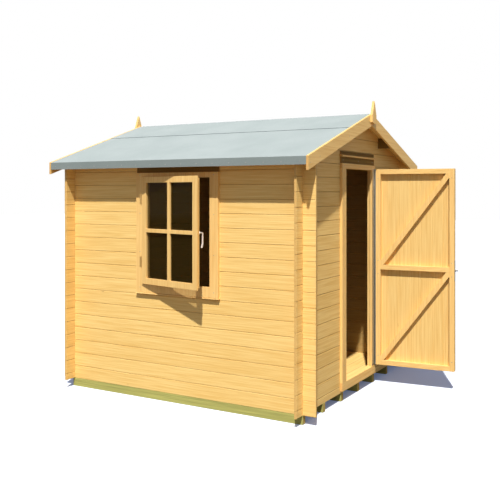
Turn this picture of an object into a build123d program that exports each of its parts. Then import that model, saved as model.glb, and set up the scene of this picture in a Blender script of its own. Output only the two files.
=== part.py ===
"""Garden log cabin: interlocking 19 mm logs on bearers, felted apex roof, gable door, casement window.

Millimetres, +Z up. The door gable faces -Y and the window wall faces -X. The origin is at ground
level under the middle bearer, at the centre of the footprint. The door is modelled standing open.
"""
from build123d import *
import os
from math import cos, radians, sin, tan

# Footprint, over the outer faces of the walls
wall_width = 2200
wall_depth = 2290

# Logs
course = 115
log_thickness = 19
log_overhang = 107
log_chamfer = 3
side_courses = 16
log_seam = 0.3
notch_clearance = 0.5

# Floor
bearer_count = 7
bearer_width = 45
bearer_height = 70
floor_thickness = 19
floor_board = 120
floor_groove = 2
floor_clearance = 1

# Roof
roof_pitch = 18.1
eaves_log_height = 122
deck_thickness = 16
felt_thickness = 2.5
eaves_overhang = 168
gable_overhang = 128
felt_fold = 61
fascia_thickness = 18
ridge_cap_reach = 460
purlin_thickness = 44
purlin_height = 85
purlin_offset = 507
ridge_beam_height = 105
housing_clearance = 0.5
board_clearance = 0.5

# Bargeboards and finials
barge_thickness = 20
barge_height = 105
barge_rise = 3
finial_thickness = 22
finial_width = 92
finial_spike = 108
finial_drop = 78

# Door frame
door_centre = -24
doorway_width = 590
frame_board = 85
frame_proud = 22
frame_grip = 15
frame_lap = 45
head_height = 43
head_bottom = 1933
settling_gap = 40
threshold_top = 160
threshold_height = 70
threshold_inside = 20
drip_height = 20
drip_projection = 30
drip_end = 10
cover_height = 55
cover_thickness = 10

# Door leaf
door_width = 700
door_bottom = 172
door_top = 1942
door_board_thickness = 19
door_board_count = 7
door_groove = 3
batten_width = 44
batten_thickness = 38
door_frame_gap = 6
door_open_angle = 95

# Door hinge, lock and handle
hinge_radius = 4.5
hinge_flap_thickness = 1.5
hinge_flap_width = 54
hinge_running_gap = 0.3
lock_height = 1051
lock_plate_height = 180
lock_plate_width = 24
lock_plate_thickness = 2
bolt_reach = 28
bolt_height = 12
bolt_thickness = 8
pull_length = 160
pull_standoff = 38
pull_width = 20
pull_thickness = 6
pull_bend = 12

# Window
window_frame_width = 821
window_frame_bottom = 893
window_frame_top = 1897
window_side_board = 81
window_bottom_board = 84
window_top_board = 43
window_lap = 40
window_liner = 18
sill_projection = 27
sill_thickness = 12
sill_end = 6
casement_lap = 10
casement_lip = 12
casement_play = 5
casement_thickness = 40
casement_stile = 54
casement_rail = 50
glazing_bar = 31
glazing_bar_depth = 18
glass_thickness = 4
casement_gap = 1
casement_open_angle = 12.8
butt_height = 88
butt_radius = 5
butt_inset = 140
butt_flap_width = 26
butt_flap_thickness = 2
fastener_length = 120
fastener_reach = 46
fastener_width = 10
fastener_thickness = 7
fastener_bend = 10
fastener_rose_radius = 13
fastener_rose_depth = 10

# Worked out from the sizes above
half_width = wall_width / 2
half_depth = wall_depth / 2
log_bite = course / 4
wall_base = bearer_height
eaves_log_base = wall_base + side_courses * course
gable_base = wall_base + course / 2
slope = tan(radians(roof_pitch))
plumb = 1 / cos(radians(roof_pitch))
roof_seat = eaves_log_base + eaves_log_height
deck_plumb = deck_thickness * plumb
felt_plumb = felt_thickness * plumb
eaves_x = half_width + eaves_overhang
barge_back = half_depth + gable_overhang - barge_thickness
doorway_left = door_centre - doorway_width / 2
doorway_right = door_centre + doorway_width / 2
log_doorway_left = doorway_left - frame_lap
log_doorway_right = doorway_right + frame_lap
head_top = head_bottom + head_height
cover_top = head_top + cover_height
front_face = -half_depth
frame_face = front_face - frame_proud


def roof_underside(x):
    """Height of the roof boards' lower face above a place x across the cabin."""
    return roof_seat + (half_width - abs(x)) * slope


os.makedirs("parts", exist_ok=True)


def save(piece, name):
    piece.label = name
    export_step(piece, f"parts/{name}.step")


# Floor bearers, resting on the ground and running from the door gable to the back
bearer_pitch = (wall_width - bearer_width) / (bearer_count - 1)
for number in range(bearer_count):
    bearer_x = -half_width + bearer_width / 2 + number * bearer_pitch
    with BuildPart() as bearer:
        with BuildSketch(Plane.XY):
            with Locations((bearer_x, 0)):
                Rectangle(bearer_width, wall_depth)
        extrude(amount=bearer_height)
    save(bearer.part, f"bearer_{number + 1}")

# Floor boards on the bearers, with a V groove along each joint
floor_width = wall_width - 2 * (log_thickness + floor_clearance)
floor_depth = wall_depth - 2 * (log_thickness + floor_clearance)
floor_top = bearer_height + floor_thickness
with BuildPart() as floor:
    with BuildSketch(Plane.XY.offset(bearer_height)):
        Rectangle(floor_width, floor_depth)
    extrude(amount=floor_thickness)
    floor_joints = int(floor_depth / floor_board) - 1
    first_joint = -floor_joints * floor_board / 2
    with BuildSketch(Plane.YZ.offset(-floor_width / 2)):
        for joint in range(floor_joints + 1):
            joint_y = first_joint + joint * floor_board
            with BuildLine():
                Polyline(
                    (joint_y - floor_groove, floor_top),
                    (joint_y, floor_top - floor_groove),
                    (joint_y + floor_groove, floor_top),
                    close=True,
                )
            make_face()
    extrude(amount=floor_width, mode=Mode.SUBTRACT)
save(floor.part, "floor")


def stacked_logs(plane, across, joints):
    """Sections of a stack of logs between joint heights, chamfered so that a V shows at each joint."""
    inner = across - log_thickness / 2
    outer = across + log_thickness / 2
    with BuildSketch(plane) as sections:
        for lower_joint, upper_joint in zip(joints, joints[1:]):
            base = lower_joint + log_seam / 2
            top = upper_joint - log_seam / 2
            with BuildLine():
                Polyline(
                    (inner + log_chamfer, base),
                    (outer - log_chamfer, base),
                    (outer, base + log_chamfer),
                    (outer, top - log_chamfer),
                    (outer - log_chamfer, top),
                    (inner + log_chamfer, top),
                    (inner, top - log_chamfer),
                    (inner, base + log_chamfer),
                    close=True,
                )
            make_face()
    return sections.sketch


def corner_notches(plane, corners, joints):
    """Openings at both corners that let the crossing logs seat a quarter of a log deep."""
    with BuildSketch(plane) as notches:
        with Locations(*[(corner, joint) for corner in corners for joint in joints]):
            Rectangle(log_thickness + 2 * notch_clearance, 2 * log_bite + log_seam)
    return notches.sketch


def rectangle_between(plane, low, high):
    """Rectangle between two opposite corners of a plane."""
    with BuildSketch(plane) as outline:
        with Locations(((low[0] + high[0]) / 2, (low[1] + high[1]) / 2)):
            Rectangle(high[0] - low[0], high[1] - low[1])
    return outline.sketch


def space_under_roof():
    """Section across the cabin of everything below the roof boards."""
    far_x = half_width + 2 * log_overhang
    with BuildSketch(Plane.XZ.offset(-wall_depth)) as under_roof:
        with BuildLine():
            Polyline(
                (-far_x, 0),
                (far_x, 0),
                (far_x, roof_underside(far_x)),
                (0, roof_underside(0)),
                (-far_x, roof_underside(far_x)),
                close=True,
            )
        make_face()
    return under_roof.sketch


side_axis = half_width - log_thickness / 2
gable_axis = half_depth - log_thickness / 2
side_end = half_depth + log_overhang
gable_end = half_width + log_overhang
side_joints = [wall_base + number * course for number in range(side_courses + 2)]
gable_joints = [gable_base + number * course for number in range(side_courses + 5)]
roof_apex = roof_underside(0)

# The doorway in the logs ends at a joint, which leaves the wall room to settle over the frame
doorway_logs_top = gable_joints[side_courses + 1]

# Window opening in the logs of the side wall at -X
window_log_half = window_frame_width / 2 - window_lap
window_logs_bottom = window_frame_bottom + window_lap
window_logs_top = window_frame_top + settling_gap

# Side walls: the topmost log is bevelled to carry the roof boards
for sign, side in ((-1, "window_side"), (1, "blank_side")):
    wall_x = sign * side_axis
    inside_of_wall = Plane.YZ.offset(wall_x - log_thickness)
    with BuildPart() as side_wall:
        eaves_log_top = roof_seat + log_thickness
        extrude(
            stacked_logs(Plane.XZ.offset(-side_end), wall_x, side_joints[:-1] + [eaves_log_top]),
            amount=2 * side_end,
        )
        extrude(
            corner_notches(inside_of_wall, (-gable_axis, gable_axis), side_joints),
            amount=2 * log_thickness,
            mode=Mode.SUBTRACT,
        )
        if side == "window_side":
            extrude(
                rectangle_between(
                    inside_of_wall,
                    (-window_log_half, window_logs_bottom),
                    (window_log_half, window_logs_top),
                ),
                amount=2 * log_thickness,
                mode=Mode.SUBTRACT,
            )
        extrude(space_under_roof(), amount=2 * wall_depth, mode=Mode.INTERSECT)
    save(side_wall.part, f"wall_{side}")


def gable_wall(name, wall_y, joints, start, end):
    """Logs of a gable wall, notched at the corners, housed for the roof timbers and cut to the roof.

    These walls start with a half-height log, so that their joints fall between those of the sides.
    """
    behind_wall = Plane.XZ.offset(-wall_y - log_thickness)
    with BuildPart() as wall:
        extrude(stacked_logs(Plane.YZ.offset(start), wall_y, joints), amount=end - start)
        extrude(
            corner_notches(behind_wall, (-side_axis, side_axis), gable_joints[: side_courses + 1]),
            amount=2 * log_thickness,
            mode=Mode.SUBTRACT,
        )
        if joints[-1] > roof_seat:
            housing_half = purlin_thickness / 2 + housing_clearance
            housing_top = roof_apex + course
            for timber_x, height in (
                (0, ridge_beam_height),
                (-purlin_offset, purlin_height),
                (purlin_offset, purlin_height),
            ):
                housing_bottom = roof_underside(timber_x) - height - housing_clearance
                extrude(
                    rectangle_between(
                        behind_wall,
                        (timber_x - housing_half, housing_bottom),
                        (timber_x + housing_half, housing_top),
                    ),
                    amount=2 * log_thickness,
                    mode=Mode.SUBTRACT,
                )
            extrude(
                rectangle_between(
                    Plane.XZ.offset(-front_face - 2 * log_thickness),
                    (log_doorway_left, gable_base),
                    (log_doorway_right, doorway_logs_top),
                ),
                amount=3 * log_thickness,
                mode=Mode.SUBTRACT,
            )
            extrude(space_under_roof(), amount=2 * wall_depth, mode=Mode.INTERSECT)
    save(wall.part, name)


gable_wall("wall_back", gable_axis, [wall_base] + gable_joints, -gable_end, gable_end)
door_joints = gable_joints[: side_courses + 1]
gable_wall("front_bottom_log", -gable_axis, [wall_base, gable_base], -gable_end, gable_end)
gable_wall("wall_front_left", -gable_axis, door_joints, -gable_end, log_doorway_left)
gable_wall("wall_front_right", -gable_axis, door_joints, log_doorway_right, gable_end)
gable_wall("wall_front_gable", -gable_axis, gable_joints[side_courses:], -gable_end, gable_end)


def roof_timber(centre_x, height, name):
    """A purlin or the ridge beam, its top cut to the roof, reaching the backs of the bargeboards."""
    left = centre_x - purlin_thickness / 2
    right = centre_x + purlin_thickness / 2
    bottom = roof_underside(centre_x) - height
    with BuildPart() as timber:
        with BuildSketch(Plane.XZ.offset(-barge_back)):
            with BuildLine():
                corners = [(left, bottom), (right, bottom), (right, roof_underside(right))]
                if left < 0 < right:
                    corners.append((0, roof_underside(0)))
                corners.append((left, roof_underside(left)))
                Polyline(*corners, close=True)
            make_face()
        extrude(amount=2 * barge_back)
    save(timber.part, name)


roof_timber(0, ridge_beam_height, "ridge_beam")
roof_timber(-purlin_offset, purlin_height, "purlin_window_side")
roof_timber(purlin_offset, purlin_height, "purlin_blank_side")

# Roof boards, fascias and felt, mirrored about the ridge
fascia_face = eaves_x - felt_plumb
fascia_bottom = roof_underside(eaves_x) + deck_plumb + felt_plumb - felt_fold


def eaves_section(points, sign, name):
    """Extrudes an outline across the cabin from bargeboard to bargeboard."""
    with BuildPart() as strip:
        with BuildSketch(Plane.XZ.offset(-barge_back)):
            with BuildLine():
                Polyline(*[(sign * x, z) for x, z in points], close=True)
            make_face()
        extrude(amount=2 * barge_back)
    save(strip.part, name)


for sign, side in ((-1, "window_side"), (1, "blank_side")):
    eaves_section(
        [
            (0, roof_underside(0)),
            (0, roof_underside(0) + deck_plumb),
            (fascia_face, roof_underside(fascia_face) + deck_plumb),
            (fascia_face, roof_underside(fascia_face)),
        ],
        sign,
        f"roof_boards_{side}",
    )
    fascia_back = fascia_face - fascia_thickness
    eaves_section(
        [
            (fascia_back, fascia_bottom),
            (fascia_back, roof_underside(fascia_back)),
            (fascia_face, roof_underside(fascia_face)),
            (fascia_face, fascia_bottom),
        ],
        sign,
        f"fascia_{side}",
    )
    felt_top = deck_plumb + felt_plumb
    eaves_section(
        [
            (0, roof_underside(0) + deck_plumb),
            (0, roof_underside(0) + felt_top),
            (eaves_x, roof_underside(eaves_x) + felt_top),
            (eaves_x, fascia_bottom),
            (fascia_face, fascia_bottom),
            (fascia_face, roof_underside(fascia_face) + deck_plumb),
        ],
        sign,
        f"felt_{side}",
    )

# The top strip of felt laps over both slopes
cap_bottom = deck_plumb + felt_plumb
cap_top = cap_bottom + felt_plumb
with BuildPart() as ridge_cap:
    with BuildSketch(Plane.XZ.offset(-barge_back)):
        with BuildLine():
            Polyline(
                (-ridge_cap_reach, roof_underside(ridge_cap_reach) + cap_bottom),
                (0, roof_underside(0) + cap_bottom),
                (ridge_cap_reach, roof_underside(ridge_cap_reach) + cap_bottom),
                (ridge_cap_reach, roof_underside(ridge_cap_reach) + cap_top),
                (0, roof_underside(0) + cap_top),
                (-ridge_cap_reach, roof_underside(ridge_cap_reach) + cap_top),
                close=True,
            )
        make_face()
    extrude(amount=2 * barge_back)
save(ridge_cap.part, "felt_ridge")

# Bargeboards in mitred pairs, with a finial in front of each mitre
barge_top = deck_plumb + felt_plumb + barge_rise
barge_bottom = barge_top - barge_height
for back_y, gable in ((-barge_back - barge_thickness, "front"), (barge_back, "back")):
    with BuildPart() as bargeboards:
        for sign in (-1, 1):
            with BuildSketch(Plane.XZ.offset(-back_y)):
                with BuildLine():
                    mitre = sign * board_clearance / 2
                    Polyline(
                        (mitre, roof_underside(mitre) + barge_bottom),
                        (mitre, roof_underside(mitre) + barge_top),
                        (sign * eaves_x, roof_underside(eaves_x) + barge_top),
                        (sign * eaves_x, roof_underside(eaves_x) + barge_bottom),
                        close=True,
                    )
                make_face()
            extrude(amount=-barge_thickness)
    save(bargeboards.part, f"bargeboards_{gable}")

finial_shoulder = roof_apex + barge_top
for start_y, gable in (
    (-barge_back - barge_thickness - finial_thickness, "front"),
    (barge_back + barge_thickness, "back"),
):
    with BuildPart() as finial:
        with BuildSketch(Plane.XZ.offset(-start_y)):
            with BuildLine():
                Polyline(
                    (-finial_width / 2, finial_shoulder - finial_drop),
                    (0, finial_shoulder - finial_drop - finial_width / 2 * slope),
                    (finial_width / 2, finial_shoulder - finial_drop),
                    (finial_width / 2, finial_shoulder - finial_width / 2 * slope),
                    (0, finial_shoulder + finial_spike),
                    (-finial_width / 2, finial_shoulder - finial_width / 2 * slope),
                    close=True,
                )
            make_face()
        extrude(amount=-finial_thickness)
    save(finial.part, f"finial_{gable}")

# Door frame: each jamb is a channel that takes the ends of the cut logs
jamb_height = head_bottom - threshold_top
jamb_back = front_face + log_thickness + frame_grip
for side, sign, doorway_edge, log_edge in (
    ("left", -1, doorway_left, log_doorway_left),
    ("right", 1, doorway_right, log_doorway_right),
):
    outer_edge = doorway_edge + sign * frame_board
    web_edge = log_edge - sign * frame_grip
    flange_edge = log_edge + sign * frame_grip
    log_end = log_edge - sign * board_clearance
    log_back = front_face + log_thickness + board_clearance
    with BuildPart() as jamb:
        with BuildSketch(Plane.XY.offset(threshold_top)):
            with BuildLine():
                Polyline(
                    (outer_edge, frame_face),
                    (doorway_edge, frame_face),
                    (doorway_edge, front_face),
                    (web_edge, front_face),
                    (web_edge, jamb_back),
                    (flange_edge, jamb_back),
                    (flange_edge, log_back),
                    (log_end, log_back),
                    (log_end, front_face),
                    (outer_edge, front_face),
                    close=True,
                )
            make_face()
        extrude(amount=jamb_height)
    save(jamb.part, f"door_jamb_{side}")

head_width = doorway_width + 2 * frame_board
with BuildPart() as door_head:
    with BuildSketch(Plane.XY.offset(head_bottom)):
        with Locations((door_centre, (frame_face + front_face) / 2)):
            Rectangle(head_width, frame_proud)
    extrude(amount=head_height)
    with BuildSketch(Plane.XY.offset(head_bottom)):
        liner_width = log_doorway_right - log_doorway_left - 2 * board_clearance
        with Locations((door_centre, (front_face + jamb_back) / 2)):
            Rectangle(liner_width, jamb_back - front_face)
    extrude(amount=frame_grip)
save(door_head.part, "door_head")

# Threshold over the bottom log, with an apron across the front of the jambs' feet
threshold_middle = threshold_top - threshold_height / 2
sill_depth = log_thickness + threshold_inside
with BuildPart() as threshold:
    with BuildSketch(Plane.XZ.offset(-front_face)):
        with Locations((door_centre, threshold_middle)):
            Rectangle(head_width, threshold_height)
    extrude(amount=frame_proud)
    with BuildSketch(Plane.XZ.offset(-front_face)):
        with Locations((door_centre, (gable_base + threshold_top) / 2)):
            Rectangle(liner_width, threshold_top - gable_base)
    extrude(amount=-sill_depth)
save(threshold.part, "threshold")

# Cover strip over the gap above the door head, with a drip strip on its top edge
with BuildPart() as door_cover_strip:
    extrude(
        rectangle_between(
            Plane.XZ.offset(-front_face),
            (door_centre - head_width / 2, head_top),
            (door_centre + head_width / 2, cover_top),
        ),
        amount=cover_thickness,
    )
save(door_cover_strip.part, "door_cover_strip")

drip_width = head_width + 2 * drip_end
with BuildPart() as drip_strip:
    with BuildSketch(Plane.YZ.offset(door_centre - drip_width / 2)):
        with BuildLine():
            Polyline(
                (front_face, cover_top),
                (front_face - drip_projection, cover_top),
                (front_face - drip_projection, cover_top + drip_height / 2),
                (front_face, cover_top + drip_height),
                close=True,
            )
        make_face()
    extrude(amount=drip_width)
save(drip_strip.part, "drip_strip")

# Door leaf. It is drawn on a plane whose x runs from the hinge side to the free edge, whose y is up
# and whose z is the way its inside face looks, with the hinge axis through the plane's origin.
hinge_x = door_centre + door_width / 2 + hinge_radius + hinge_running_gap + hinge_flap_thickness
hinge_y = frame_face - door_frame_gap
open_turn = radians(door_open_angle)
leaf_plane = Plane(
    origin=(hinge_x, hinge_y, 0),
    x_dir=(-cos(open_turn), -sin(open_turn), 0),
    z_dir=(-sin(open_turn), cos(open_turn), 0),
)
leaf_start = hinge_x - door_centre - door_width / 2
leaf_end = leaf_start + door_width
leaf_height = door_top - door_bottom
leaf_middle = (door_top + door_bottom) / 2

with BuildPart() as door_boards:
    with BuildSketch(leaf_plane.offset(-batten_thickness)):
        with Locations(((leaf_start + leaf_end) / 2, leaf_middle)):
            Rectangle(door_width, leaf_height)
    extrude(amount=-door_board_thickness)
    # Looking down on the leaf, y is the way its outside face looks
    leaf_plan = Plane(
        origin=leaf_plane.from_local_coords((0, door_bottom, 0)),
        x_dir=leaf_plane.x_dir,
        z_dir=(0, 0, 1),
    )
    with BuildSketch(leaf_plan):
        for joint in range(1, door_board_count):
            joint_x = leaf_start + joint * door_width / door_board_count
            for face_y, inward in (
                (batten_thickness, 1),
                (batten_thickness + door_board_thickness, -1),
            ):
                with BuildLine():
                    Polyline(
                        (joint_x - door_groove, face_y),
                        (joint_x, face_y + inward * door_groove),
                        (joint_x + door_groove, face_y),
                        close=True,
                    )
                make_face()
    extrude(amount=leaf_height, mode=Mode.SUBTRACT)
save(door_boards.part, "door_boards")

with BuildPart() as door_stiles:
    with BuildSketch(leaf_plane):
        for stile_x in (leaf_start + batten_width / 2, leaf_end - batten_width / 2):
            with Locations((stile_x, leaf_middle)):
                Rectangle(batten_width, leaf_height)
    extrude(amount=-batten_thickness)
save(door_stiles.part, "door_stiles")

ledge_length = door_width - 2 * batten_width
ledge_heights = (door_bottom + batten_width / 2, leaf_middle, door_top - batten_width / 2)
with BuildPart() as door_ledges:
    with BuildSketch(leaf_plane):
        for ledge_z in ledge_heights:
            with Locations(((leaf_start + leaf_end) / 2, ledge_z)):
                Rectangle(ledge_length, batten_width)
    extrude(amount=-batten_thickness)
save(door_ledges.part, "door_ledges")

# A brace climbs from the hinge side to the free edge in each half of the door
bay_left = leaf_start + batten_width
bay_right = leaf_end - batten_width
with BuildPart() as door_braces:
    with BuildSketch(leaf_plane):
        for lower_ledge, upper_ledge in zip(ledge_heights, ledge_heights[1:]):
            bay_bottom = lower_ledge + batten_width / 2
            bay_top = upper_ledge - batten_width / 2
            bay_rise = bay_top - bay_bottom
            lean = ((bay_right - bay_left) ** 2 + bay_rise**2) ** 0.5
            foot = batten_width * lean / bay_rise / 2
            shoulder = batten_width * lean / (bay_right - bay_left) / 2
            with BuildLine():
                Polyline(
                    (bay_left, bay_bottom),
                    (bay_left + foot, bay_bottom),
                    (bay_right, bay_top - shoulder),
                    (bay_right, bay_top),
                    (bay_right - foot, bay_top),
                    (bay_left, bay_bottom + shoulder),
                    close=True,
                )
            make_face()
    extrude(amount=-batten_thickness)
save(door_braces.part, "door_braces")

# Long hinge: a knuckle with a flap on the jamb, and a flap on the edge of the leaf
with BuildPart() as door_hinge:
    with BuildSketch(Plane.XY.offset(door_bottom)):
        with Locations((hinge_x, hinge_y)):
            Circle(hinge_radius)
        flap_face = frame_face - hinge_flap_thickness
        with Locations((hinge_x - hinge_flap_width / 2, (frame_face + flap_face) / 2)):
            Rectangle(hinge_flap_width, hinge_flap_thickness)
        with Locations((hinge_x, (frame_face + hinge_y) / 2)):
            Rectangle(hinge_flap_thickness, door_frame_gap)
    extrude(amount=leaf_height)
save(door_hinge.part, "door_hinge")

with BuildPart() as door_hinge_flap:
    with BuildSketch(leaf_plane):
        with Locations((leaf_start - hinge_flap_thickness / 2, leaf_middle)):
            Rectangle(hinge_flap_thickness, leaf_height)
    extrude(amount=-hinge_flap_width)
save(door_hinge_flap.part, "door_hinge_flap")

# Lock: a plate on the free edge, with its bolt thrown
edge_plane = Plane(
    origin=leaf_plane.from_local_coords((leaf_end, lock_height, -batten_thickness / 2)),
    x_dir=leaf_plane.z_dir,
    z_dir=leaf_plane.x_dir,
)
with BuildPart() as door_lock:
    with BuildSketch(edge_plane):
        Rectangle(lock_plate_width, lock_plate_height)
    extrude(amount=lock_plate_thickness)
    with BuildSketch(edge_plane.offset(lock_plate_thickness)):
        Rectangle(bolt_thickness, bolt_height)
    extrude(amount=bolt_reach - lock_plate_thickness)
save(door_lock.part, "door_lock")

# Pull handle of bent flat bar on the outside
pull_x = leaf_end - batten_width / 2
leaf_outside = -batten_thickness - door_board_thickness
with BuildPart() as door_pull:
    pull_plane = Plane(
        origin=leaf_plane.from_local_coords((pull_x, lock_height, leaf_outside)),
        x_dir=leaf_plane.z_dir,
        z_dir=-leaf_plane.x_dir,
    )
    with BuildLine(pull_plane) as pull_line:
        FilletPolyline(
            (0, -pull_length / 2),
            (-pull_standoff, -pull_length / 2),
            (-pull_standoff, pull_length / 2),
            (0, pull_length / 2),
            radius=pull_bend,
        )
    pull_foot = Plane(origin=pull_line.line @ 0, x_dir=leaf_plane.x_dir, z_dir=pull_line.line % 0)
    with BuildSketch(pull_foot):
        Rectangle(pull_width, pull_thickness)
    sweep(path=pull_line.line)
save(door_pull.part, "door_pull")

# Window frame: boards on the outer face and a liner through the logs
window_face = -half_width - frame_proud
liner_back = -half_width + log_thickness + frame_grip
window_clear_half = window_frame_width / 2 - window_side_board
window_clear_bottom = window_frame_bottom + window_bottom_board
window_clear_top = window_frame_top - window_top_board
window_centre = (window_frame_bottom + window_frame_top) / 2
window_log_middle = (window_logs_bottom + window_frame_top) / 2
window_log_height = window_frame_top - window_logs_bottom - board_clearance
with BuildPart() as window_frame:
    with BuildSketch(Plane.YZ.offset(window_face)):
        with Locations((0, window_centre)):
            Rectangle(window_frame_width, window_frame_top - window_frame_bottom)
        with Locations((0, (window_clear_bottom + window_clear_top) / 2)):
            Rectangle(2 * window_clear_half, window_clear_top - window_clear_bottom, mode=Mode.SUBTRACT)
    extrude(amount=frame_proud)
    with BuildSketch(Plane.YZ.offset(-half_width)):
        with Locations((0, window_log_middle)):
            Rectangle(2 * (window_log_half - board_clearance), window_log_height)
            Rectangle(
                2 * (window_log_half - window_liner),
                window_log_height - 2 * window_liner,
                mode=Mode.SUBTRACT,
            )
    extrude(amount=liner_back + half_width)
save(window_frame.part, "window_frame")

with BuildPart() as window_sill:
    with BuildSketch(Plane.XZ.offset(-window_frame_width / 2 - sill_end)):
        with BuildLine():
            Polyline(
                (-half_width, window_frame_bottom),
                (-half_width - sill_projection, window_frame_bottom - sill_thickness / 4),
                (-half_width - sill_projection, window_frame_bottom - sill_thickness),
                (-half_width, window_frame_bottom - sill_thickness),
                close=True,
            )
        make_face()
    extrude(amount=window_frame_width + 2 * sill_end)
save(window_sill.part, "window_sill")

with BuildPart() as window_cover_strip:
    extrude(
        rectangle_between(
            Plane.YZ.offset(-half_width),
            (-window_frame_width / 2, window_frame_top),
            (window_frame_width / 2, window_logs_top + frame_grip),
        ),
        amount=-cover_thickness,
    )
save(window_cover_strip.part, "window_cover_strip")

# Casement, hinged at its back edge and standing open. Its plane is laid out like the door's and runs
# along the back of the lip, which laps over the frame when the casement is closed.
casement_turn = radians(casement_open_angle)
casement_width = 2 * (window_clear_half + casement_lap)
casement_hinge_y = casement_width / 2
casement_bottom = window_clear_bottom - casement_lap
casement_top = window_clear_top + casement_lap
casement_body = casement_thickness - casement_lip
lip_width = casement_lap + casement_play
casement_plane = Plane(
    origin=(window_face - casement_gap, casement_hinge_y, 0),
    x_dir=(-sin(casement_turn), -cos(casement_turn), 0),
    z_dir=(-cos(casement_turn), sin(casement_turn), 0),
)
casement_middle = (casement_bottom + casement_top) / 2
casement_height = casement_top - casement_bottom
pane_width = casement_width - 2 * casement_stile
pane_height = casement_height - 2 * casement_rail
with BuildPart() as casement:
    with BuildSketch(casement_plane):
        with Locations((casement_width / 2, casement_middle)):
            Rectangle(casement_width, casement_height)
            Rectangle(pane_width, pane_height, mode=Mode.SUBTRACT)
    extrude(amount=casement_lip)
    with BuildSketch(casement_plane):
        with Locations((casement_width / 2, casement_middle)):
            Rectangle(casement_width - 2 * lip_width, casement_height - 2 * lip_width)
            Rectangle(pane_width, pane_height, mode=Mode.SUBTRACT)
    extrude(amount=-casement_body)
    with BuildSketch(casement_plane.offset(casement_lip - glazing_bar_depth)):
        with Locations((casement_width / 2, casement_middle)):
            Rectangle(pane_width, glazing_bar)
            Rectangle(glazing_bar, pane_height)
    extrude(amount=glazing_bar_depth)
save(casement.part, "window_casement")

with BuildPart() as window_glass:
    glass_level = casement_lip - glazing_bar_depth - glass_thickness
    with BuildSketch(casement_plane.offset(glass_level)):
        with Locations((casement_width / 2, casement_middle)):
            Rectangle(pane_width, pane_height)
    extrude(amount=glass_thickness)
save(window_glass.part, "window_glass")

# Butt hinges of the casement
knuckle_reach = (butt_radius - casement_gap) * sin(casement_turn) + butt_radius + board_clearance
with BuildPart() as window_hinges:
    for hinge_low in (casement_bottom + butt_inset, casement_top - butt_inset - butt_height):
        knuckle_x = window_face - butt_radius
        knuckle_y = casement_hinge_y + knuckle_reach / cos(casement_turn)
        with BuildSketch(Plane.XY.offset(hinge_low)):
            with Locations((knuckle_x, knuckle_y)):
                Circle(butt_radius)
            with Locations((window_face - butt_flap_thickness / 2, knuckle_y + butt_flap_width / 2)):
                Rectangle(butt_flap_thickness, butt_flap_width)
        extrude(amount=butt_height)
        with BuildSketch(casement_plane):
            with Locations((-butt_flap_thickness / 2, hinge_low + butt_height / 2)):
                Rectangle(butt_flap_thickness, butt_height)
        extrude(amount=casement_lip)
save(window_hinges.part, "window_hinges")

# Fastener on the inside of the free stile: a rose with a curved lever that hangs down
fastener_origin = casement_plane.from_local_coords(
    (casement_width - casement_stile / 2, casement_middle, -casement_body)
)
with BuildPart() as window_fastener:
    fastener_plane = Plane(
        origin=fastener_origin, x_dir=-casement_plane.x_dir, z_dir=-casement_plane.z_dir
    )
    with BuildSketch(fastener_plane):
        Circle(fastener_rose_radius)
    extrude(amount=fastener_rose_depth)
    with BuildLine(
        Plane(origin=fastener_origin, x_dir=fastener_plane.z_dir, z_dir=casement_plane.x_dir)
    ) as lever_line:
        FilletPolyline(
            (fastener_rose_depth / 2, 0),
            (fastener_reach, 0),
            (fastener_reach, -fastener_length * 0.7),
            (fastener_reach - fastener_rose_depth, -fastener_length),
            radius=fastener_bend,
        )
    lever_root = Plane(
        origin=lever_line.line @ 0, x_dir=casement_plane.x_dir, z_dir=lever_line.line % 0
    )
    with BuildSketch(lever_root):
        Rectangle(fastener_width, fastener_thickness)
    sweep(path=lever_line.line)
save(window_fastener.part, "window_fastener")
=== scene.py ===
# %% [markdown]
# A small garden cabin, built of thin planed spruce logs that cross at the corners. The joinery is
# already made to size and arrives as a fixed frame of named pieces. What is left to do here is what
# the eye judges first: the grain and colour of unpainted spruce, the grit of the roofing felt, the
# dull shine of zinc, the little screws and nails, and the light.

# %% The frame
import math

import bmesh
import bpy
from mathutils import Matrix, Vector


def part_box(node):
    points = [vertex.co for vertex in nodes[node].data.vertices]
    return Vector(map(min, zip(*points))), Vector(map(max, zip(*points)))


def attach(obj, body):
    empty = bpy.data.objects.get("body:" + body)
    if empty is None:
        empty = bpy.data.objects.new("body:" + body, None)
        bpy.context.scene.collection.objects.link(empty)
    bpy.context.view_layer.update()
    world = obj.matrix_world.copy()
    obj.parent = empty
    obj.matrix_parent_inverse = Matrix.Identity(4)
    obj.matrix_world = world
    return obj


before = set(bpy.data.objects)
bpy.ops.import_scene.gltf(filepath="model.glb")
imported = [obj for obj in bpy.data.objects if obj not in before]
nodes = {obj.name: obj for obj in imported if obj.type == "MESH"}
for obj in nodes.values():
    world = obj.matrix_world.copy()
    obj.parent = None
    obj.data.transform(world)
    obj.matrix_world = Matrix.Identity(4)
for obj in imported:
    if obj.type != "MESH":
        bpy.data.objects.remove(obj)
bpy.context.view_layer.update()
MM = 0.001
print("pieces in the frame:", len(nodes))

# %% [markdown]
# The picture was taken level, at standing eye height, and its upright lines stay upright. A level
# camera whose image is shifted downwards does the same thing: it looks straight ahead, but keeps
# more ground than sky. Tilting the camera instead would make the corners of the cabin lean.

# %% Camera
IMAGE_SIZE = 500
HORIZON_ROW = 192.4
EYE = Vector((-6.087, -3.586, 1.7335))
LOOKING_RIGHT_OF_BACK = 59.86
LENS = 53.56

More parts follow.
